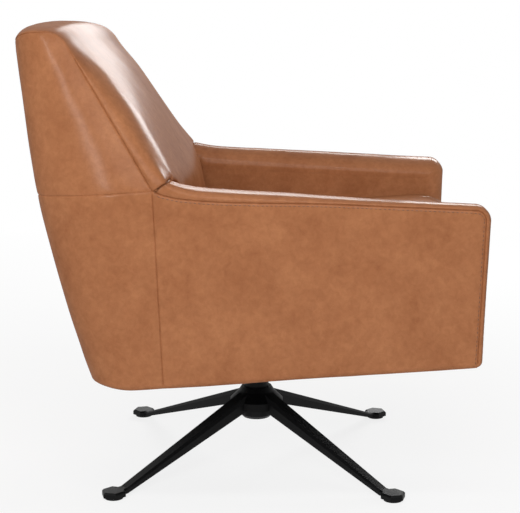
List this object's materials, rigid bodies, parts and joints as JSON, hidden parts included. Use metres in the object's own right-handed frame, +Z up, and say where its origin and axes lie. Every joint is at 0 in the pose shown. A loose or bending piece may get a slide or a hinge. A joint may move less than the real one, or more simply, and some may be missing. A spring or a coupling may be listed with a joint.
{
  "type": "swivel armchair",
  "caption": "Low lounge armchair with a leather-covered, leaning-back tub, loose seat cushion and raked bolster back, turning freely on a black star-shaped swivel base.",
  "frame": {"origin": "on the floor, on the vertical swivel axis", "axes": "+X towards the front of the seat, +Y to the sitter's left, +Z up"},
  "size_m": [0.7636, 0.744, 0.8107],
  "materials": {
    "leather": "semi-gloss tan leather with soft mottling",
    "black_metal": "satin black powder coat",
    "black_plastic": "fine matt black moulding",
    "black_nylon": "matt black nylon",
    "white_nylon": "natural nylon",
    "bearing_steel": "ground steel",
    "bright_steel": "turned steel",
    "zinc_steel": "zinc plated steel",
    "brass_cage": "plain brass strip",
    "timber": "sawn hardwood",
    "plywood": "plain plywood",
    "webbing": "woven elastic webbing",
    "dust_cloth": "black non-woven cloth"
  },
  "bodies": {
    "base": {"star_base": "black_metal", "floor_glides": "black_nylon", "hub_cap": "black_plastic", "column_tube": "black_metal", "guide_bush": "white_nylon", "lower_race": "bearing_steel"},
    "bearing": {"bearing_rollers": "bearing_steel", "roller_cage": "brass_cage"},
    "seat": {"spindle": "bright_steel", "upper_race": "bearing_steel", "clip_washer": "zinc_steel", "retaining_clip": "zinc_steel", "swivel_plate": "black_metal", "plate_bolts": "zinc_steel", "tee_nuts": "zinc_steel", "front_rail": "timber", "rear_rail": "timber", "left_seat_rail": "timber", "right_seat_rail": "timber", "left_mount_rail": "timber", "right_mount_rail": "timber", "corner_blocks": "timber", "left_back_post": "timber", "right_back_post": "timber", "back_top_rail": "timber", "lumbar_rail": "timber", "left_side_frame": "plywood", "right_side_frame": "plywood", "seat_webbing_long": "webbing", "seat_webbing_cross": "webbing", "back_webbing": "webbing", "seat_cushion": "leather", "back_cushion": "leather", "left_inner_arm_pad": "leather", "right_inner_arm_pad": "leather", "left_arm_band": "leather", "right_arm_band": "leather", "left_outer_side_cover": "leather", "right_outer_side_cover": "leather", "lower_back_cover": "leather", "upper_back_cover": "leather", "front_apron": "leather", "dust_cover": "dust_cloth"}
  },
  "joints": [
    {"name": "swivel", "type": "hinge", "parent": "base", "child": "seat", "pos_m": [0, 0, 0.15], "axis": [0, 0, 1], "continuous": true},
    {"name": "bearing_roll", "type": "hinge", "parent": "base", "child": "bearing", "pos_m": [0, 0, 0.109], "axis": [0, 0, 1], "continuous": true}
  ],
  "couplings": [
    {"joint": "bearing_roll", "follows": "swivel", "ratio": 0.5}
  ]
}
